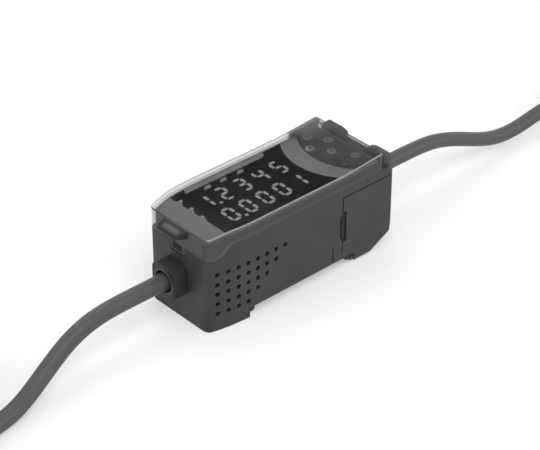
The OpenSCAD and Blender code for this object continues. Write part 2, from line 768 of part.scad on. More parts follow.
lamp_x = window_x0 + window_lip + 0.75;
lamp_y = half_w - 3.35;
module power_light() { light(window_x0 + 11.7, lamp_y, 1.6, 0.8); }
module zero_light() { light(window_x0 + 17.15, lamp_y, 1.6, 0.8); }
module enable_light() { light(window_x0 + 23.05, lamp_y, 1.6, 0.8); }
module high_light() { light(lamp_x, 8.7, 0.9, 1.4); }
module pass_light() { light(lamp_x, 4.05, 0.9, 1.4); }
module low_light() { light(lamp_x, -0.65, 0.9, 1.4); }

// Connectors for a unit that is mounted beside this one
connector_z0 = board_z + board_t;
connector_z1 = connector_z0 + 7.4;
connector_in = wall_t + 4.2;
module side_connector() {
    y1 = half_w - door_t - rib_t - 2 * door_gap - 0.1;
    y0 = half_w - connector_in;
    color("#e0e0dc") difference() {
        block(door_x0 + 4.4, door_x0 + 12.6, y0, y1, connector_z0, connector_z1);
        block(door_x0 + 5.1, door_x0 + 11.9, y0 + 0.8, y1 + 1, connector_z0 + 1.4,
            connector_z1 - 1.4);
    }
    color("#c8b060") for (i = [0:4]) block(door_x0 + 6.1 + 1.2 * i - 0.2,
        door_x0 + 6.1 + 1.2 * i + 0.2, y0 + 0.7, y1 - 0.8, (connector_z0 + connector_z1) / 2 - 0.2,
        (connector_z0 + connector_z1) / 2 + 0.2);
}

module side_connector_right() { mirror([0, 1, 0]) side_connector(); }
module side_connector_left() { side_connector(); }

// Bushings that hold the cords, each with a flange inside the case
flange_r = 4.1;
module bushing(x, s, z, d) {
    depth = boss_l - bush_in + wall_t;
    color("#222224") translate([x, 0, z]) rotate([0, 90 * s, 0]) rotate_extrude()
        polygon([[d / 2 + cord_gap, -wall_t - 1.2], [flange_r, -wall_t - 1.2],
            [flange_r, -wall_t - 0.05], [bush_r - 0.05, -wall_t - 0.05],
            [bush_r - 0.05, depth - wall_t - 0.5], [bush_r - 0.55, depth - wall_t],
            [d / 2 + cord_gap, depth - wall_t]]);
}

module front_bushing() { bushing(x_front, -1, output_z, output_d); }
module rear_bushing() { bushing(x_rear, 1, sensor_z, sensor_d); }

// Hinged cover
lid_low = -seam_gap;
tab_z = lid_top - nose_drop;
module protective_cover() {
    color("#a0a0a8", 0.5) difference() {
        union() {
            difference() {
                lofted(0, lid_x1, 0, lid_r, lid_low);
                difference() {
                    lofted(lid_wall, lid_x1 + 1, lid_wall, 0, 2);
                    across(-half_w, half_w) polygon([[lid_x1 - lid_wall, seam_h + lug_h + 0.5],
                        [x_rear, seam_h + lug_h + 0.5], [x_rear, lid_top + 4],
                        [lid_x1 - lid_wall, lid_top + 4]]);
                }
            }
            hinge_tongue();
            finger_tab();
            latch_tongue();
        }
        across(-nub_w / 2 - 0.3, nub_w / 2 + 0.3) translate([x_front - 1, nub_z - 1.2])
            square([lid_wall + 1.5, 2.2]);
    }
}

module hinge_tongue() {
    across(-tongue_w / 2, tongue_w / 2) polygon([[lid_x1 - lid_wall, seam_h + 0.4],
        [hinge_x, seam_h + 0.4], [hinge_x, hinge_z + 0.5], [lid_x1, hinge_z + 1.1],
        [lid_x1, lid_top], [lid_x1 - lid_wall, lid_top]]);
    bar_y(hinge_x, hinge_z, barrel_r, -tongue_w / 2, tongue_w / 2);
    bar_y(hinge_x, hinge_z, stub_r, -tongue_w / 2 - stub_l, tongue_w / 2 + stub_l);
}

module finger_tab() {
    taper = 0.8;
    hull() {
        block(x_front, x_front + lid_wall, -tab_w / 2, tab_w / 2, tab_z - 2.1, tab_z - 0.2);
        block(x_front - tab_out * 0.6, x_front, -tab_w / 2 + taper / 2,
            tab_w / 2 - taper / 2, tab_z - 1.9, tab_z - 0.5);
        block(x_front - tab_out, x_front - tab_out + 0.2, -tab_w / 2 + taper,
            tab_w / 2 - taper, tab_z - 1.6, tab_z - 1.1);
    }
}

module latch_tongue() {
    across(-latch_w / 2, latch_w / 2) polygon([[x_front, skirt_z(x_front) + 2],
        [x_front, nub_z - 1.7], [x_front + 0.25, nub_z - 1.95],
        [x_front + lid_wall, nub_z - 1.95], [x_front + lid_wall, skirt_z(x_front) + 2]]);
}

// Route of each cord along its own middle, and the tied hank of the output cord
output_route = [[-33, 0, 13], [-40, 0, 13], [-48, 0, 13], [-56, 0, 12.9], [-62, -0.1, 12],
    [-68, -0.6, 10.2], [-74, -1.8, 7.7], [-80, -3.4, 5.2], [-86, -5.2, 3.2],
    [-92, -6.8, 2.35], [-101, -7.9, 2.35]];
sensor_route = [[33, 0, 15], [41, 0, 15], [49, 0, 15], [57, 0, 14.9], [63, 0, 14],
    [69, 0, 12.1], [75, 0, 9.6], [81, 0, 7], [87, 0, 4.9], [94, 0, 4], [101, 0, 4.6],
    [107, 0, 5.7], [112, 0, 6], [122, 0, 6]];
hank_cols = 2;
hank_layers = 4;
hank_r = 15;
hank_run = 73;
hank_end = [-109, 9.35];
hank_w = hank_cols * output_d / 2;
hank_h = hank_layers * output_d;
tie_x = hank_end.x - hank_run / 2;
tail_x = hank_end.x - 11;
tail_y = hank_end.y - hank_r + output_d / 2;

module output_cord() {
    color("#4c4c50") tube(output_route, output_d, 10);
}

module sensor_cord() {
    color("#4c4c50") tube(sensor_route, sensor_d, 10);
}

// Plan of the hank, out to the radius r of its round ends
module hank_shape(r) {
    translate([hank_end.x - hank_run, hank_end.y - r]) square([hank_run, 2 * r]);
    for (x = [hank_end.x - hank_run, hank_end.x]) translate([x, hank_end.y]) circle(r);
}

// The turns as one ring, with the cord's last stretch on top of them
module output_hank() {
    color("#4c4c50") linear_extrude(hank_h) difference() {
        hank_shape(hank_r + hank_w);
        hank_shape(hank_r - hank_w);
    }
    color("#4c4c50") bar_x(tail_y, hank_h + output_d / 2 - 0.25, output_d / 2,
        tail_x, hank_end.x);
}

// Strap round both runs of the hank, and the bare cores at the cord's end
module hank_tie() {
    r = hank_r + hank_w;
    color("#202022") translate([0, hank_end.y, 0]) along(tie_x - 2, tie_x + 2) difference() {
        translate([-r - 1, 0]) square([2 * r + 2, hank_h + 1]);
        translate([-r - 0.1, -1]) square([2 * r + 0.2, hank_h + 1.1]);
    }
}

core_d = 1.1;
core_n = 5;
core_l = 21;
module output_leads() {
    colors = ["#7a4a28", "#2848a0", "#202022", "#d8d8d8", "#c87828"];
    for (i = [0:core_n - 1]) color(colors[i])
        bar_x(tail_y + output_d / 4 * cos(72 * i), hank_h + output_d / 2 - 0.25
            + output_d / 4 * sin(72 * i), core_d / 2, tail_x - core_l, tail_x);
}

// Round plug on the sensor cord, lying on the same surface
plug_r = 6;
plug_l = 22;
plug_x = 120;
module sensor_connector() {
    color("#303032") translate([plug_x, 0, plug_r]) rotate([0, 90, 0])
        rotate_extrude() polygon([[sensor_d / 2 + cord_gap, -7], [sensor_d / 2 + 0.8, -7],
            [plug_r - 1.6, 0], [plug_r - 1.6, 2], [plug_r - 0.4, 3], [plug_r - 0.4, 8],
            [plug_r, 8.5], [plug_r, plug_l - 3], [plug_r - 0.5, plug_l - 2.5],
            [plug_r - 0.5, plug_l], [plug_r - 1.4, plug_l], [plug_r - 1.4, plug_l - 8],
            [sensor_d / 2 + cord_gap, plug_l - 8]]);
}

module connector_insert() {
    color("#181818") bar_x(0, plug_r, plug_r - 1.6, plug_x + plug_l - 7.95,
        plug_x + plug_l - 2.95);
    color("#c8b060") for (i = [0:7]) bar_x(2.6 * cos(45 * i), plug_r + 2.6 * sin(45 * i),
        0.35, plug_x + plug_l - 3.2, plug_x + plug_l - 1);
}

case_body();
top_frame();
bezel_plate();
display_window();
key_plate();
protective_cover();
main_display();
sub_display();
power_light();
zero_light();
enable_light();
high_light();
pass_light();
low_light();
up_key();
down_key();
left_key();
right_key();
enter_key();
mode_slider();
threshold_slider();
up_switch();
down_switch();
left_switch();
right_switch();
enter_switch();
mode_switch_body();
threshold_switch_body();
display_board();
main_board();
board_link();
side_cover_right();
side_cover_left();
side_connector_right();
side_connector_left();
rail_clip();
clip_spring();
front_bushing();
rear_bushing();
output_cord();
output_hank();
hank_tie();
output_leads();
sensor_cord();
sensor_connector();
connector_insert();
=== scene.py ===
"""Looks of a contact sensor amplifier: camera, light, cords, digits and materials."""

import json
import math

import bpy
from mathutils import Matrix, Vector


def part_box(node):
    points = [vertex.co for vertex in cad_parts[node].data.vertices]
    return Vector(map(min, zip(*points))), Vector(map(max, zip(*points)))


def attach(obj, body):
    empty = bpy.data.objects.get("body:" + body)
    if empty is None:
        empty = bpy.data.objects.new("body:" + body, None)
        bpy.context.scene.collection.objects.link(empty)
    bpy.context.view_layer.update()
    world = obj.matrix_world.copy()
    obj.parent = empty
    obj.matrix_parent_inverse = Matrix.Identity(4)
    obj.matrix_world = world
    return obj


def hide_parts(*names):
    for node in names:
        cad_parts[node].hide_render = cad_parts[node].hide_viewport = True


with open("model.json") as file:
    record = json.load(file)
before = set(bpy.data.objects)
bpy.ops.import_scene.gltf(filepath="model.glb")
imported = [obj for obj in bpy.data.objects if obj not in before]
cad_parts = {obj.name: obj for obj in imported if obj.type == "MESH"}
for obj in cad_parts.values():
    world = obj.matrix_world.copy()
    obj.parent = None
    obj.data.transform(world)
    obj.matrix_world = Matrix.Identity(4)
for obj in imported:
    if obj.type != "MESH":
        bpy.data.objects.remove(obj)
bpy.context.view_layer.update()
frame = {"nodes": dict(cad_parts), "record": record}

scene = bpy.context.scene
MM = 0.001

# Camera, set so that the render lines up with the photograph
AZIMUTH = math.radians(-42.165)
ELEVATION = math.radians(33.864)
DISTANCE = 0.528864
TARGET = Vector((-0.000554, 0.0, 0.013873))
LENS = 133.0

# Sizes of the object, in metres. The case runs from X_FRONT to X_REAR and is twice HALF_W
# wide. OUTPUT_D and SENSOR_D are the cords' diameters, OUTPUT_Z is the height of the output
# cord's axis and BUSH_R the radius of the bushing round it.
X_FRONT = -0.03225
X_REAR = 0.03225
HALF_W = 0.01305
OUTPUT_D = 0.00465
OUTPUT_Z = 0.013
SENSOR_D = 0.00425
BUSH_R = 0.0033
# Height of the window's face, of the display modules' faces and of the digits in their
# pockets, and how far a film stands proud of the face under it
WINDOW_TOP = 0.0281
MODULE_TOP = 0.02722
LED_Z = 0.02682
FILM = 0.00002
# Arc where the cover turns from clear to smoked, and the place where its far side turns milky
KEY_ARC_X = 0.03285
KEY_ARC_R = 0.0174
FROST_X = 0.0180
# The output cord's hank: radius of its round ends, length of its runs, X and Y of the middle
# of its near end, its turns, where the jacket ends, and the diameter of a core
HANK_R = 0.015
HANK_RUN = 0.073
HANK_END = (-0.109, 0.00935)
HANK_TURNS = 8
TAIL_X = -0.120
CORE_D = 0.0011

# Lamps: name, place, size and power. The world's light on the object is added to them.
LAMPS = (
    ("key_light", (-0.25, -0.55, 0.95), (0.7, 0.7), 4.6),
    ("left_light", (-0.95, 0.25, 0.5), (0.6, 0.9), 2.6),
    ("right_light", (0.7, -0.7, 0.45), (0.6, 0.6), 2.0),
    ("top_light", (0.2, 0.6, 1.0), (0.9, 0.9), 2.6),
)
LAMP_AIM = (0.0, 0.0, 0.012)
WORLD_LIGHT = 0.32

# The floor lies a little lower than the object, so that no two faces fall together. For the
# camera it adds light of its own to show as white: FLOOR_LIFT up to the distance LIFT_FROM,
# where the object's shadow falls, and FAR_LIFT from LIFT_TO, where the lamps reach it less.
FLOOR_SIZE = 6.0
FLOOR_DROP = 0.0001
FLOOR_LIFT = 0.36
FAR_LIFT = 0.80
LIFT_FROM = 0.35
LIFT_TO = 0.85

# Tones of the cover: what it lets through, the colour of its haze, a painted highlight across the
# finger tab, and painted highlight and shade along its edges
CLEAR_TINT = (0.92, 0.92, 0.925)
SMOKED_TINT = (0.78, 0.78, 0.785)
TAB_TINT = (0.60, 0.60, 0.605)
CLEAR_HAZE = (0.36, 0.36, 0.37)
SMOKED_HAZE = (0.16, 0.16, 0.162)
WALL_HAZE = (0.24, 0.24, 0.243)
CORNER_HAZE = (0.26, 0.26, 0.263)
TAB_HAZE = (0.045, 0.045, 0.046)
# Painted highlight across the middle of the finger tab
TAB_HIGHLIGHT = (0.16, 0.16, 0.162)
# Painted highlight on edges that face -Y, painted shade on edges that face away, and darker
# painted shade at the output end and on the finger tab
NEAR_EDGE_HIGHLIGHT = (0.42, 0.42, 0.425)
FAR_EDGE_SHADE = (0.10, 0.10, 0.101)
FRONT_EDGE_SHADE = (0.03, 0.03, 0.031)


def camera():
    back = Vector((
        math.sin(AZIMUTH) * math.cos(ELEVATION),
        -math.cos(AZIMUTH) * math.cos(ELEVATION),
        math.sin(ELEVATION),
    ))
    data = bpy.data.cameras.new("camera")
    data.lens = LENS
    data.clip_start, data.clip_end = 0.01, 20.0
    eye = bpy.data.objects.new("camera", data)
    eye.location = TARGET + back * DISTANCE
    eye.rotation_euler = back.to_track_quat("Z", "Y").to_euler()
    scene.collection.objects.link(eye)
    scene.camera = eye


def area_light(name, place, size, power):
    data = bpy.data.lights.new(name, "AREA")
    data.shape = "RECTANGLE"
    data.size, data.size_y = size
    data.energy = power
    lamp = bpy.data.objects.new(name, data)
    lamp.location = place
    toward = Vector(place) - Vector(LAMP_AIM)
    lamp.rotation_euler = toward.to_track_quat("Z", "Y").to_euler()
    scene.collection.objects.link(lamp)


def seen_ray(tree):
    """1 for rays that show the surroundings to the camera, also in a mirror or through glass."""
    path = tree.nodes.new("ShaderNodeLightPath")
    factor = path.outputs["Is Camera Ray"]
    for kind in ("Is Glossy Ray", "Is Transmission Ray"):
        either = tree.nodes.new("ShaderNodeMath")
        either.operation = "MAXIMUM"
        tree.links.new(factor, either.inputs[0])
        tree.links.new(path.outputs[kind], either.inputs[1])
        factor = either.outputs["Value"]
    return factor


def studio():
    for lamp in LAMPS:
        area_light(*lamp)
    world = bpy.data.worlds.new("studio")
    world.use_nodes = True
    tree = world.node_tree
    background = tree.nodes["Background"]
    background.inputs["Color"].default_value = (1, 1, 1, 1)
    level = tree.nodes.new("ShaderNodeMapRange")
    level.inputs["To Min"].default_value = WORLD_LIGHT
    level.inputs["To Max"].default_value = 1.0
    tree.links.new(seen_ray(tree), level.inputs["Value"])
    tree.links.new(level.outputs["Result"], background.inputs["Strength"])
    scene.world = world
    scene.view_settings.view_transform = "Standard"
    scene.cycles.use_denoising = True
    scene.cycles.denoising_input_passes = "RGB"
    scene.cycles.transparent_max_bounces = 16
    scene.cycles.max_bounces = 10


# Materials: each is a small node tree with its own grain, colour variation, and wear with a
# painted highlight along its edges

class Look:
    """A material's node tree, with helpers for its common parts."""

    def __init__(self, name):
        self.material = bpy.data.materials.new(name)
        self.material.use_nodes = True
        self.tree = self.material.node_tree
        self.shader = self.tree.nodes["Principled BSDF"]
        self.output = self.tree.nodes["Material Output"]
        self.place = self.node("ShaderNodeTexCoord")

    def node(self, kind, **sockets):
        made = self.tree.nodes.new(kind)
        for key, value in sockets.items():
            made.inputs[key].default_value = value
        return made

    def link(self, source, target):
        self.tree.links.new(source, target)

    def noise(self, scale, detail=3.0):
        made = self.node("ShaderNodeTexNoise", Scale=scale, Detail=detail, Roughness=0.55)
        self.link(self.place.outputs["Object"], made.inputs["Vector"])
        return made.outputs["Fac"]

    def ramp(self, source, low, high, out_low, out_high):
        made = self.node("ShaderNodeMapRange")
        made.inputs["From Min"].default_value = low
        made.inputs["From Max"].default_value = high
        made.inputs["To Min"].default_value = out_low
        made.inputs["To Max"].default_value = out_high
        self.link(source, made.inputs["Value"])
        return made.outputs["Result"]

    def mask(self, source, low, high):
        """0 at low and 1 at high, whichever of the two is larger."""
        return self.ramp(source, low, high, 0.0, 1.0)

    def bump(self, height, strength, distance, edge=0.0):
        made = self.node("ShaderNodeBump", Strength=strength, Distance=distance)
        self.link(height, made.inputs["Height"])
        if edge:
            round_edge = self.tree.nodes.new("ShaderNodeBevel")
            round_edge.samples = 4
            round_edge.inputs["Radius"].default_value = edge
            self.link(round_edge.outputs["Normal"], made.inputs["Normal"])
        self.link(made.outputs["Normal"], self.shader.inputs["Normal"])

    def maths(self, kind, first, second=0.0):
        made = self.tree.nodes.new("ShaderNodeMath")
        made.operation = kind
        for place, value in ((0, first), (1, second)):
            if isinstance(value, (int, float)):
                made.inputs[place].default_value = value
            else:
                self.link(value, made.inputs[place])
        return made.outputs["Value"]

    def axes(self):
        """The three coordinates of a point in the object's frame, in metres."""
        split = self.tree.nodes.new("ShaderNodeSeparateXYZ")
        self.link(self.place.outputs["Object"], split.inputs["Vector"])
        return split.outputs["X"], split.outputs["Y"], split.outputs["Z"]

    def edges(self, radius, share):
        """Mask of the strip along each sharp edge: where a rounded edge would turn the surface."""
        bevel = self.tree.nodes.new("ShaderNodeBevel")
        bevel.samples = 6
        bevel.inputs["Radius"].default_value = radius
        geometry = self.tree.nodes.new("ShaderNodeNewGeometry")
        turn = self.tree.nodes.new("ShaderNodeVectorMath")
        turn.operation = "DOT_PRODUCT"
        self.link(bevel.outputs["Normal"], turn.inputs[0])
        self.link(geometry.outputs["True Normal"], turn.inputs[1])
        return self.ramp(turn.outputs["Value"], 0.97, 0.75, 0.0, share)

    def product(self, *factors):
        result = factors[0]
        for factor in factors[1:]:
            result = self.maths("MULTIPLY", result, factor)
        return result

    def total(self, *terms):
        result = terms[0]
        for term in terms[1:]:
            result = self.maths("ADD", result, term)
        return result

    def distance(self, first, second):
        """Length of a vector from its two parts."""
        squares = self.total(self.product(first, first), self.product(second, second))
        return self.maths("SQRT", squares)

    def blend_colour(self, factor, first, second):
        """Mix of two colours, each a constant or a socket."""
        made = self.tree.nodes.new("ShaderNodeMix")
        made.data_type = "RGBA"
        for name, value in (("A", first), ("B", second)):
            if isinstance(value, tuple):
                made.inputs[name].default_value = (*value, 1.0)
            else:
                self.link(value, made.inputs[name])
        self.link(factor, made.inputs["Factor"])
        return made.outputs["Result"]

    def sheen(self, ior, share):
        """Mirror share of a clear sheet: only on the outer side of its surface."""
        fresnel = self.node("ShaderNodeFresnel", IOR=ior)
        geometry = self.tree.nodes.new("ShaderNodeNewGeometry")
        outer = self.ramp(geometry.outputs["Backfacing"], 0.0, 1.0, share, 0.0)
        return self.maths("MULTIPLY", fresnel.outputs["Fac"], outer)

    def glaze(self, under, ior, share, scale, smooth, rough):
        """Finish a clear sheet: a gloss of uneven roughness over the shader under it."""
        gloss = self.node("ShaderNodeBsdfGlossy", Color=(1.0, 1.0, 1.0, 1.0))
        self.link(self.ramp(self.noise(scale), 0.3, 0.7, smooth, rough),
                  gloss.inputs["Roughness"])
        final = self.tree.nodes.new("ShaderNodeMixShader")
        self.link(self.sheen(ior, share), final.inputs["Fac"])
        self.link(under, final.inputs[1])
        self.link(gloss.outputs["BSDF"], final.inputs[2])
        self.link(final.outputs["Shader"], self.output.inputs["Surface"])
        self.tree.nodes.remove(self.shader)


# Depth of the grain of moulded plastic, and how far its patches differ from its colour
GRAIN_DEPTH = 0.00002
PATCH_SHARE = 0.12


def moulded(name, colour, rough=0.5, grain=2600.0, edge=0.00018):
    """Moulded plastic: a fine spark-eroded grain, patches of sheen, a rounded edge, and edges
    lighter in colour, partly from wear and partly a painted highlight.
    """
    look = Look(name)
    patch = look.noise(90.0, detail=4.0)
    dark = tuple(c * (1.0 - PATCH_SHARE) for c in colour)
    light = tuple(c * (1.0 + PATCH_SHARE) for c in colour)
    tone = look.blend_colour(look.ramp(patch, 0.35, 0.65, 0.0, 1.0), dark, light)
    # Lighter colour along the edges: partly wear, partly a painted highlight
    worn_and_highlit = tuple(min(1.0, c * 1.7 + 0.02) for c in colour)
    look.tone = look.blend_colour(look.edges(edge * 1.4, 0.45), tone, worn_and_highlit)
    look.link(look.tone, look.shader.inputs["Base Color"])
    look.link(look.ramp(look.noise(700.0), 0.3, 0.7, rough - 0.07, rough + 0.07),
              look.shader.inputs["Roughness"])
    look.bump(look.noise(grain, detail=2.0), 0.35, GRAIN_DEPTH, edge)
    look.shader.inputs["Specular IOR Level"].default_value = 0.4
    return look


def case_look():
    """The case's plastic: darker on the boss of the output cord, with a paler ring round its
    bushing that is a painted highlight, and a painted highlight that makes the lugs of the hinge a
    little lighter."""
    look = moulded("case_look", (0.040, 0.040, 0.0415), rough=0.55)
    x, y, z = look.axes()
    boss = look.mask(x, X_FRONT - 0.0002, X_FRONT - 0.0005)
    # The lugs of the hinge painted a little lighter: a painted highlight
    highlit_lug = look.product(look.mask(x, X_REAR - 0.0022, X_REAR - 0.0014),
                       look.mask(z, 0.0225, 0.0240))
    height = look.maths("SUBTRACT", z, OUTPUT_Z)
    radius = look.distance(y, height)
    # Paler ring round the bushing: a painted highlight
    painted_rim = look.product(look.mask(radius, BUSH_R + 0.0006, BUSH_R + 0.0001),
                       look.mask(x, X_FRONT - 0.003, X_FRONT - 0.0036))
    tone = look.blend_colour(boss, look.tone, (0.017, 0.017, 0.018))
    tone = look.blend_colour(highlit_lug, tone, (0.065, 0.065, 0.067))
    tone = look.blend_colour(painted_rim, tone, (0.13, 0.13, 0.132))
    look.link(tone, look.shader.inputs["Base Color"])
    return look


def clear_cover():
    """Thin polycarbonate: clear over the display, smoked over the keys, hazy along the far side
    behind them and dark on the finger tab, with a painted highlight across the tab, a painted
    highlight on edges that face -Y and painted shade on the others, darkest at the output end."""
    look = Look("clear_cover")
    x, y, _ = look.axes()
    facing = look.tree.nodes.new("ShaderNodeSeparateXYZ")
    look.link(look.place.outputs["Normal"], facing.inputs["Vector"])
    level = look.maths("ABSOLUTE", facing.outputs["Z"])
    upright = look.maths("SUBTRACT", 1.0, level)
    roof = look.mask(level, 0.5, 0.8)

    # Masks of the regions
    along = look.maths("MINIMUM", look.maths("SUBTRACT", x, KEY_ARC_X), 0.0)
    smoked = look.product(
        look.mask(look.distance(along, y), KEY_ARC_R + 0.0003, KEY_ARC_R - 0.0008), roof)
    corner = look.product(look.mask(x, FROST_X, FROST_X + 0.003), roof,
                          look.mask(y, 0.0035, 0.0125))
    far_side = look.mask(y, HALF_W - 0.0017, HALF_W - 0.0009)
    wall = look.product(far_side, look.mask(x, FROST_X - 0.0008, FROST_X + 0.0008))
    tab = look.mask(x, X_FRONT + 0.0001, X_FRONT - 0.0003)
    # Painted highlight across the middle of the finger tab's top
    tab_highlight = look.product(
        look.mask(look.maths("ABSOLUTE", y), 0.0034, 0.0022),
        look.mask(x, X_FRONT - 0.0008, X_FRONT - 0.0016),
        look.mask(x, X_FRONT - 0.0031, X_FRONT - 0.0023), roof)

    # The rounded top edge is neither level nor upright; the bevel finds the other edges
    rounded = look.product(look.mask(level, 0.12, 0.25), look.ramp(level, 0.93, 0.85, 0.0, 0.8))
    edge = look.maths("MAXIMUM", look.edges(0.0005, 0.9), rounded)
    # Edge colour is painted light: a highlight where the faces turn to -Y, shade where they turn
    # away, and darker shade at the output end and on the tab
    lit_side = look.ramp(facing.outputs["Y"], -0.35, -0.15, 1.0, 0.0)
    shaded_front = look.mask(x, X_FRONT + 0.0008, X_FRONT + 0.0004)
    painted_rim = look.blend_colour(lit_side, FAR_EDGE_SHADE, NEAR_EDGE_HIGHLIGHT)
    painted_rim = look.blend_colour(look.maths("MAXIMUM", shaded_front, tab), painted_rim, FRONT_EDGE_SHADE)

    clear = look.node("ShaderNodeBsdfTransparent")
    tint = look.blend_colour(smoked, CLEAR_TINT, SMOKED_TINT)
    look.link(look.blend_colour(tab, tint, TAB_TINT), clear.inputs["Color"])

    haze = look.node("ShaderNodeBsdfDiffuse")
    haze_and_tab_highlight = look.blend_colour(smoked, CLEAR_HAZE, SMOKED_HAZE)
    haze_and_tab_highlight = look.blend_colour(wall, haze_and_tab_highlight, WALL_HAZE)
    haze_and_tab_highlight = look.blend_colour(corner, haze_and_tab_highlight, CORNER_HAZE)
    # The finger tab's haze, with its painted highlight
    tab_haze_and_highlight = look.blend_colour(tab_highlight, TAB_HAZE, TAB_HIGHLIGHT)
    haze_and_tab_highlight = look.blend_colour(tab, haze_and_tab_highlight, tab_haze_and_highlight)
    look.link(look.blend_colour(edge, haze_and_tab_highlight, painted_rim), haze.inputs["Color"])

    # Share of the haze in each region, and of the painted highlight and shade along the edges
    haze_and_rim_share = look.total(
        look.product(upright, 0.12), look.product(smoked, 0.14), look.product(corner, 0.40),
        look.product(wall, 0.80), look.product(far_side, 0.10), look.product(tab, 0.88), edge,
        look.ramp(look.noise(60.0), 0.3, 0.7, 0.0, 0.01))
    body = look.tree.nodes.new("ShaderNodeMixShader")
    look.link(look.maths("MINIMUM", haze_and_rim_share, 0.95), body.inputs["Fac"])
    look.link(clear.outputs["BSDF"], body.inputs[1])
    look.link(haze.outputs["BSDF"], body.inputs[2])
    look.glaze(body.outputs["Shader"], 1.5, 0.13, 400.0, 0.06, 0.11)
    return look


def dark_window():
    """Smoked acrylic: nearly black, so that only lit segments show through it."""
    look = Look("dark_window")
    smoke = look.node("ShaderNodeBsdfTransparent", Color=(0.42, 0.42, 0.43, 1.0))
    look.glaze(smoke.outputs["BSDF"], 1.45, 0.06, 300.0, 0.06, 0.12)
    return look


def lit(name, level, strength):
    """A lit segment or lamp, its glow varied a little at random."""
    look = Look(name)
    look.shader.inputs["Base Color"].default_value = (level, level, level, 1.0)
    look.shader.inputs["Roughness"].default_value = 0.5
    glow = look.blend_colour(look.ramp(look.noise(500.0), 0.3, 0.7, 0.0, 1.0),
                             (0.85, 0.85, 0.85), (1.0, 1.0, 1.0))
    look.link(glow, look.shader.inputs["Emission Color"])
    look.shader.inputs["Emission Strength"].default_value = strength
    look.material.cycles.emission_sampling = "NONE"
    return look


def board_look():
    """Circuit board: solder mask with fine tracks."""
    look = Look("board_look")
    tracks = look.node("ShaderNodeTexBrick", Scale=420.0)
    tracks.inputs["Color1"].default_value = (0.02, 0.12, 0.05, 1.0)
    tracks.inputs["Color2"].default_value = (0.03, 0.16, 0.07, 1.0)
    tracks.inputs["Mortar"].default_value = (0.05, 0.22, 0.10, 1.0)
    look.link(look.place.outputs["Object"], tracks.inputs["Vector"])
    look.link(tracks.outputs["Color"], look.shader.inputs["Base Color"])
    look.shader.inputs["Roughness"].default_value = 0.35
    look.bump(tracks.outputs["Fac"], 0.3, 0.00003)
    return look


def steel():
    """Drawn spring wire."""
    look = Look("steel")
    look.shader.inputs["Metallic"].default_value = 1.0
    look.shader.inputs["Base Color"].default_value = (0.55, 0.55, 0.57, 1.0)
    look.link(look.ramp(look.noise(1500.0), 0.3, 0.7, 0.2, 0.4), look.shader.inputs["Roughness"])
    look.bump(look.noise(3000.0), 0.2, 0.00001)
    return look


def jacket(name, colour, rough=0.45):
    """Cord jacket: soft sheen, faint orange peel and a few dull patches."""
    look = Look(name)
    patch = look.noise(120.0, detail=5.0)
    dark = tuple(c * 0.85 for c in colour)
    look.link(look.blend_colour(look.ramp(patch, 0.4, 0.6, 0.0, 1.0), dark, colour),
              look.shader.inputs["Base Color"])
    look.link(look.ramp(patch, 0.3, 0.7, rough - 0.08, rough + 0.1),
              look.shader.inputs["Roughness"])
    look.bump(look.noise(900.0), 0.25, 0.00002)
    return look


def paper():
    """White card: the camera sees it as full white, and it keeps the object's shadow."""
    look = Look("floor_look")
    look.link(look.blend_colour(look.noise(40.0), (0.80, 0.80, 0.80), (0.82, 0.82, 0.82)),
              look.shader.inputs["Base Color"])
    look.shader.inputs["Roughness"].default_value = 0.9
    look.shader.inputs["Specular IOR Level"].default_value = 0.0
    look.shader.inputs["Emission Color"].default_value = (1.0, 1.0, 1.0, 1.0)
    x, y, _ = look.axes()
    lift = look.ramp(look.distance(x, y), LIFT_FROM, LIFT_TO, FLOOR_LIFT, FAR_LIFT)
    look.link(look.product(seen_ray(look.tree), lift), look.shader.inputs["Emission Strength"])
    look.material.cycles.emission_sampling = "NONE"
    return look


LOOKS = {
    "case_plastic": case_look(),
    "frame_plastic": moulded("frame_look", (0.022, 0.022, 0.023), rough=0.5),
    "bezel_plastic": moulded("bezel_look", (0.17, 0.17, 0.173), rough=0.5, grain=1800.0),
    "smoked_window": dark_window(),
    "cover_plastic": clear_cover(),
    "display_module": moulded("module_look", (0.01, 0.01, 0.01), rough=0.35),
    "light_guide": lit("guide_look", 0.5, 1.0),
    "key_plastic": moulded("key_look", (0.42, 0.42, 0.42), rough=0.45),
    "slider_plastic": moulded("slider_look", (0.08, 0.08, 0.082), rough=0.45),
    "switch_plastic": moulded("switch_look", (0.02, 0.02, 0.021), rough=0.5),
    "board": board_look(),
    "connector_plastic": moulded("connector_look", (0.62, 0.60, 0.54), rough=0.45),
    "clip_plastic": moulded("clip_look", (0.03, 0.03, 0.031), rough=0.5),
    "spring_steel": steel(),
    "bushing_rubber": jacket("rubber_look", (0.10, 0.10, 0.102), rough=0.6),
    "cord_jacket": jacket("cord_look", (0.078, 0.078, 0.080)),
    "tie_plastic": moulded("tie_look", (0.015, 0.015, 0.015), rough=0.4),
    "lead_jacket": jacket("lead_look", (0.25, 0.2, 0.15)),
    "plug_plastic": moulded("plug_look", (0.02, 0.02, 0.021), rough=0.4),
    "print_grey": moulded("band_look", (0.19, 0.19, 0.193), rough=0.5, grain=1500.0, edge=0.00005),
    "print_mid": moulded("lamp_look", (0.36, 0.36, 0.36), rough=0.5, grain=1500.0, edge=0.00005),
}


def dress(piece, look):
    piece.data.materials.clear()
    piece.data.materials.append(look.material)


def dress_nodes():
    for part in frame["record"]["subparts"]:
        dress(frame["nodes"][part["node"]], LOOKS[part["material_slot"]])


def link_mesh(name, verts, faces, look, body="case"):
    mesh = bpy.data.meshes.new(name)
    mesh.from_pydata(verts, [], faces)
    mesh.update()
    piece = bpy.data.objects.new(name, mesh)
    scene.collection.objects.link(piece)
    dress(piece, look)
    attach(piece, body)
    return piece


# Cords

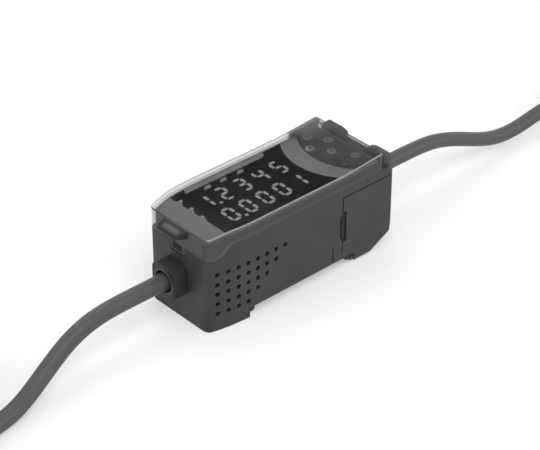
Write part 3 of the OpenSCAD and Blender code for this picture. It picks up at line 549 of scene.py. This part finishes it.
def tube_data(name, diameter, roundness, steps):
    data = bpy.data.curves.new(name, "CURVE")
    data.dimensions = "3D"
    data.bevel_depth = diameter / 2
    data.bevel_resolution = roundness
    data.use_fill_caps = True
    data.resolution_u = steps
    return data


def smooth_line(data, points):
    """One open line along the points, from the first to the last."""
    line = data.splines.new("NURBS")
    line.points.add(len(points) - 1)
    for spot, place in zip(line.points, points):
        spot.co = (*place, 1.0)
    line.order_u = 4
    line.use_endpoint_u = True
    return line


def cord_piece(name, points, diameter):
    data = tube_data(name, diameter, roundness=5, steps=6)
    smooth_line(data, points)
    piece = bpy.data.objects.new(name, data)
    scene.collection.objects.link(piece)
    dress(piece, LOOKS["cord_jacket"])
    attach(piece, "case")
    return piece


def metres(points):
    return [tuple(value * MM for value in point) for point in points]


# Points in millimetres that the cords run along, from inside their bushings
OUTPUT_ROUTE = metres([
    (-33, 0, 13), (-40, 0, 13), (-48, 0, 13), (-56, 0, 12.9), (-62, -0.1, 12),
    (-68, -0.6, 10.2), (-74, -1.8, 7.7), (-80, -3.4, 5.2), (-86, -5.2, 3.2),
    (-92, -6.8, 2.35), (-101, -7.9, 2.35),
])
SENSOR_ROUTE = metres([
    (33, 0, 15), (41, 0, 15), (49, 0, 15), (57, 0, 14.9), (63, 0, 14),
    (69, 0, 12.1), (75, 0, 9.6), (81, 0, 7), (87, 0, 4.9), (94, 0, 4), (101, 0, 4.6),
    (107, 0, 5.7), (112, 0, 6), (122, 0, 6),
])
# Points along each half circle and each straight run of the hank
ARC_STEPS = 12
RUN_STEPS = 5
# Height of the lowest layer's axis, and how far the cord's end sinks, in diameters
FIRST_LAYER = 0.505
END_SINK = 0.05


def slot(turn):
    """Radius and height of a turn: outer then inner in a layer, and the other way in the next."""
    layer, column = divmod(turn, 2)
    inner = column if layer % 2 == 0 else 1 - column
    if turn == HANK_TURNS:
        inner, layer = 1, layer - END_SINK
    return HANK_R + OUTPUT_D * (0.5 - inner), OUTPUT_D * (layer + FIRST_LAYER)


def hank_points():
    """The wound cord: along one side, round the far end, back, and round to the next turn."""
    x_end, y_mid = HANK_END
    # The smooth line runs inside of an arc's points, so they reach further out on X
    wide = 3.0 / (2.0 + math.cos(math.pi / ARC_STEPS))
    points = []
    for turn in range(HANK_TURNS):
        radius, height = slot(turn)
        next_radius, next_height = slot(turn + 1)
        for step in range(RUN_STEPS):
            points.append((x_end - HANK_RUN * step / RUN_STEPS, y_mid - radius, height))
        for step in range(ARC_STEPS + 1):
            angle = -math.pi / 2 - math.pi * step / ARC_STEPS
            points.append((x_end - HANK_RUN + wide * radius * math.cos(angle),
                           y_mid + radius * math.sin(angle), height))
        for step in range(1, RUN_STEPS):
            points.append((x_end - HANK_RUN * (1 - step / RUN_STEPS), y_mid + radius, height))
        for step in range(ARC_STEPS):
            part = step / ARC_STEPS
            ease = part * part * (3.0 - 2.0 * part)
            here = radius + (next_radius - radius) * ease
            angle = math.pi / 2 - math.pi * part
            points.append((x_end + wide * here * math.cos(angle), y_mid + here * math.sin(angle),
                           height + (next_height - height) * ease))
    radius, height = slot(HANK_TURNS)
    points += [(x_end, y_mid - radius, height), (x_end - 0.005, y_mid - radius, height),
               (TAIL_X, y_mid - radius, height)]
    return points


def output_cord():
    cord = cord_piece("output_cord_visual", OUTPUT_ROUTE + hank_points(), OUTPUT_D)
    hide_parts("output_cord", "output_hank")
    return cord


CORE_COLOURS = {
    "core_brown": (0.16, 0.06, 0.025), "core_blue": (0.03, 0.07, 0.3),
    "core_black": (0.01, 0.01, 0.01), "core_white": (0.75, 0.75, 0.73),
    "core_orange": (0.6, 0.17, 0.03),
}
# The cores start inside the jacket, end at slightly different lengths and spread on their way:
# a little from the start and more towards the end
CORE_START = 0.002
CORE_REACH = 0.018
CORE_STAGGER = 0.0012
CORE_STEPS = 6
SPREAD_START = 0.0007
SPREAD_END = 0.0012
# Length of a core's tinned tip, and its thickness as a share of the core's
TIP_LENGTH = 0.0016
TIP_SHARE = 0.6


def bare_cores():
    """Five cores that fan out of the jacket's end, each with a tinned tip."""
    radius, height = slot(HANK_TURNS)
    middle = (TAIL_X, HANK_END[1] - radius, height)
    data = tube_data("cores_visual", CORE_D, roundness=3, steps=5)
    core_looks = [jacket(name, colour, rough=0.4) for name, colour in CORE_COLOURS.items()]
    tips = []
    for index in range(len(CORE_COLOURS)):
        angle = math.tau * index / len(CORE_COLOURS)
        out_y, out_z = math.cos(angle), math.sin(angle)
        reach = CORE_REACH + CORE_STAGGER * (index % 3)
        points = []
        for step in range(CORE_STEPS + 1):
            part = step / CORE_STEPS
            fan = OUTPUT_D / 4 + SPREAD_START * part
            points.append((middle[0] + CORE_START - (reach + CORE_START) * part,
                           middle[1] + out_y * (fan + SPREAD_END * part * part),
                           middle[2] + out_z * fan * (1 - 0.2 * part)))
        smooth_line(data, points).material_index = index
        tips.append((points[-1], Vector(points[-1]) - Vector(points[-2])))
    for place, way in tips:
        line = data.splines.new("POLY")
        line.points.add(1)
        end = Vector(place) + way.normalized() * TIP_LENGTH
        line.points[0].co = (*place, 1.0)
        line.points[1].co = (*end, 1.0)
        line.points[0].radius = line.points[1].radius = TIP_SHARE
        line.material_index = len(CORE_COLOURS)
    piece = bpy.data.objects.new("cores_visual", data)
    scene.collection.objects.link(piece)
    for look in core_looks + [LOOKS["spring_steel"]]:
        piece.data.materials.append(look.material)
    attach(piece, "case")
    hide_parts("output_leads")
    return piece


def sensor_cord():
    cord = cord_piece("sensor_cord_visual", SENSOR_ROUTE, SENSOR_D)
    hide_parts("sensor_cord")
    return cord


# The plug: where its sleeve ends on X, the height of its axis, steps round it, the knurls of
# its ring, and the steps along its sleeve that lie in a groove
PLUG_X = 0.120
PLUG_Z = 0.006
PLUG_STEPS = 144
KNURLS = 36
KNURL_DEPTH = 0.00028
SLEEVE_STEPS = 12
GROOVES = (2, 3, 6, 7, 10, 11)
GROOVE_DEPTH = 0.0005


def plug_profile():
    """Places along the plug and radii in millimetres, from the sleeve's mouth round to the
    socket's floor and back inside the sleeve. The third value says whether it is knurled."""
    profile = []
    for step in range(SLEEVE_STEPS + 1):
        part = step / SLEEVE_STEPS
        groove = GROOVE_DEPTH / MM if step in GROOVES else 0.0
        profile.append((-7.0 + 7.0 * part, 2.93 + 1.47 * part - groove, False))
    profile += [(2.0, 4.4, False), (2.4, 4.7, False), (3.0, 5.6, False), (8.0, 5.6, False)]
    profile += [(8.3, 5.9, False), (9.2, 6.0, False), (9.5, 6.0, True), (18.2, 6.0, True)]
    profile += [(18.5, 6.0, False), (19.0, 6.0, False), (19.5, 5.5, False), (22.0, 5.5, False)]
    profile += [(22.0, 4.6, False), (14.0, 4.6, False), (14.0, 2.18, False)]
    return profile + [(-7.0, 2.18, False)]


def plug():
    """The round plug: a ribbed sleeve, a waist and a knurled ring."""
    profile = plug_profile()
    verts, faces = [], []
    for x, r, knurled in profile:
        for step in range(PLUG_STEPS):
            angle = math.tau * step / PLUG_STEPS
            ridge = abs((step * KNURLS / PLUG_STEPS) % 1.0 - 0.5) * 2.0
            radius = r * MM - (KNURL_DEPTH * ridge if knurled else 0.0)
            verts.append((PLUG_X + x * MM, radius * math.cos(angle),
                          PLUG_Z + radius * math.sin(angle)))
    count = len(profile)
    for ring in range(count):
        for step in range(PLUG_STEPS):
            here, there = ring * PLUG_STEPS, (ring + 1) % count * PLUG_STEPS
            after = (step + 1) % PLUG_STEPS
            faces.append((here + step, there + step, there + after, here + after))
    piece = link_mesh("plug_visual", verts, faces, LOOKS["plug_plastic"])
    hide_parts("sensor_connector")
    return piece


# Digits, lamps and printed marks

SEGMENTS = {
    "0": "abcdef", "1": "bc", "2": "abged", "3": "abgcd", "4": "fgbc", "5": "afgcd",
}
# Space between two segments and slope of their ends, as shares of a stroke's and half a
# stroke's thickness
SEGMENT_GAP = 0.21
SEGMENT_END = 0.9


def segment_shapes(width, height, thick):
    """The seven segments of an upright digit as outlines, from its lower left corner."""
    gap = thick * SEGMENT_GAP
    half = thick / 2
    slope = half * SEGMENT_END
    mid = height / 2

    def level(y):
        x0, x1 = half + gap, width - half - gap
        return [(x0, y), (x0 + slope, y + half), (x1 - slope, y + half),
                (x1, y), (x1 - slope, y - half), (x0 + slope, y - half)]

    def upright(x, y0, y1):
        y0, y1 = y0 + gap, y1 - gap
        return [(x, y0), (x + half, y0 + slope), (x + half, y1 - slope),
                (x, y1), (x - half, y1 - slope), (x - half, y0 + slope)]

    return {
        "a": level(height - half), "g": level(mid), "d": level(half),
        "f": upright(half, mid, height - half), "b": upright(width - half, mid, height - half),
        "e": upright(half, half, mid), "c": upright(width - half, half, mid),
    }


def digit_row(name, text, corner, pitch, size, thick, slant):
    """One row of lit digits in the display's pockets, leaning by slant."""
    shapes = segment_shapes(*size, thick)
    marks = []
    for place, mark in enumerate(text):
        left = corner[0] + place * pitch
        for key in SEGMENTS[mark]:
            marks.append([(left + x + slant * y, corner[1] + y) for x, y in shapes[key]])
    outlines(name, marks, LED_Z, DIGIT_LOOK)


def round_bar(x, y, half_length, height, corner, slant=0.0):
    """Outline of a bar about its middle, with round corners if corner isn't 0."""
    points = []
    reach = height / 2 - corner
    for turn, (way_x, way_y) in enumerate(((1, 1), (-1, 1), (-1, -1), (1, -1))):
        for step in range(4 if corner else 1):
            angle = math.radians(90 * turn + 30 * step)
            px = way_x * (half_length - corner) + corner * math.cos(angle)
            py = way_y * reach + corner * math.sin(angle)
            points.append((x + px + slant * py, y + py))
    return points


def outlines(name, shapes, z, look, body="case"):
    """Flat marks of a thin film at height z."""
    verts, faces = [], []
    for shape in shapes:
        faces.append(tuple(range(len(verts), len(verts) + len(shape))))
        verts += [(x, y, z) for x, y in shape]
    link_mesh(name, verts, faces, look, body)


# The arrowhead's reach from a key's middle to its tip and to its two tails, and the ring's radii
ARROW_REACH = (0.0008, 0.0007, 0.0007)
ARROW_TURNS = (0, 135, 225)
RING_OUTER = 0.0008
RING_INNER = 0.00055
RING_STEPS = 24


def key_marks():
    """Arrowheads on the four arrow keys and a ring on the enter key."""
    def top_of(key):
        low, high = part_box(key)
        return (low[0] + high[0]) / 2, (low[1] + high[1]) / 2, high[2] + FILM

    mark_look = LOOKS["switch_plastic"]
    for name, heading in (("up_key", 90), ("down_key", 270), ("left_key", 180), ("right_key", 0)):
        x, y, z = top_of(name)
        tips = [math.radians(heading + turn) for turn in ARROW_TURNS]
        head = [(x + r * math.cos(a), y + r * math.sin(a)) for r, a in zip(ARROW_REACH, tips)]
        outlines(name + "_mark", [head], z, mark_look, name)
    x, y, z = top_of("enter_key")
    ring = []
    for step in range(RING_STEPS):
        a, b = (math.tau * turn / RING_STEPS for turn in (step, step + 1))
        corners = ((RING_OUTER, a), (RING_OUTER, b), (RING_INNER, b), (RING_INNER, a))
        ring.append([(x + r * math.cos(angle), y + r * math.sin(angle)) for r, angle in corners])
    outlines("enter_key_mark", ring, z, mark_look, "enter_key")


DIGIT_LOOK = lit("digit_look", 0.5, 1.6)
# Each row: name, digits, lower left corner, pitch, size of a digit, thickness of a stroke, slant
DIGIT_ROWS = (
    ("main_digits", "12345", (-0.02062, 0.00136), 0.00635, (0.00347, 0.00643), 0.00094, 0.04),
    ("sub_digits", "00001", (-0.01955, -0.00718), 0.005875, (0.00365, 0.00647), 0.00098, 0.06),
)
POINTS_AT = ((-0.01622, 0.00138), (-0.01514, -0.00728))
END_LAMPS_AT = ((-0.0243, 0.0078), (-0.0245, 0.0033), (-0.0249, -0.0014))


def display_marks():
    """The lit digits and decimal points, the printed bar beside the upper row, and marks over
    the three light guides at the output end, which the bezel's edge hides."""
    for row in DIGIT_ROWS:
        digit_row(*row)
    outlines("decimal_points", [round_bar(x, y, 0.00046, 0.0009, 0.0) for x, y in POINTS_AT],
             MODULE_TOP + FILM, DIGIT_LOOK)
    outlines("window_band", [round_bar(-0.0071, 0.0106, 0.0137, 0.0021, 0.0007, 0.55)],
             WINDOW_TOP + FILM, LOOKS["print_grey"])
    outlines("end_lamps", [round_bar(x, y, 0.00035, 0.0009, 0.0002) for x, y in END_LAMPS_AT],
             WINDOW_TOP + FILM, LOOKS["print_mid"])


def floor():
    bpy.ops.mesh.primitive_plane_add(size=FLOOR_SIZE, location=(0, 0, -FLOOR_DROP))
    card = bpy.context.object
    card.name = "floor"
    dress(card, paper())


# The scene

camera()
studio()
dress_nodes()
output = output_cord()
sensor = sensor_cord()
bare_cores()
plug()
display_marks()
key_marks()
floor()
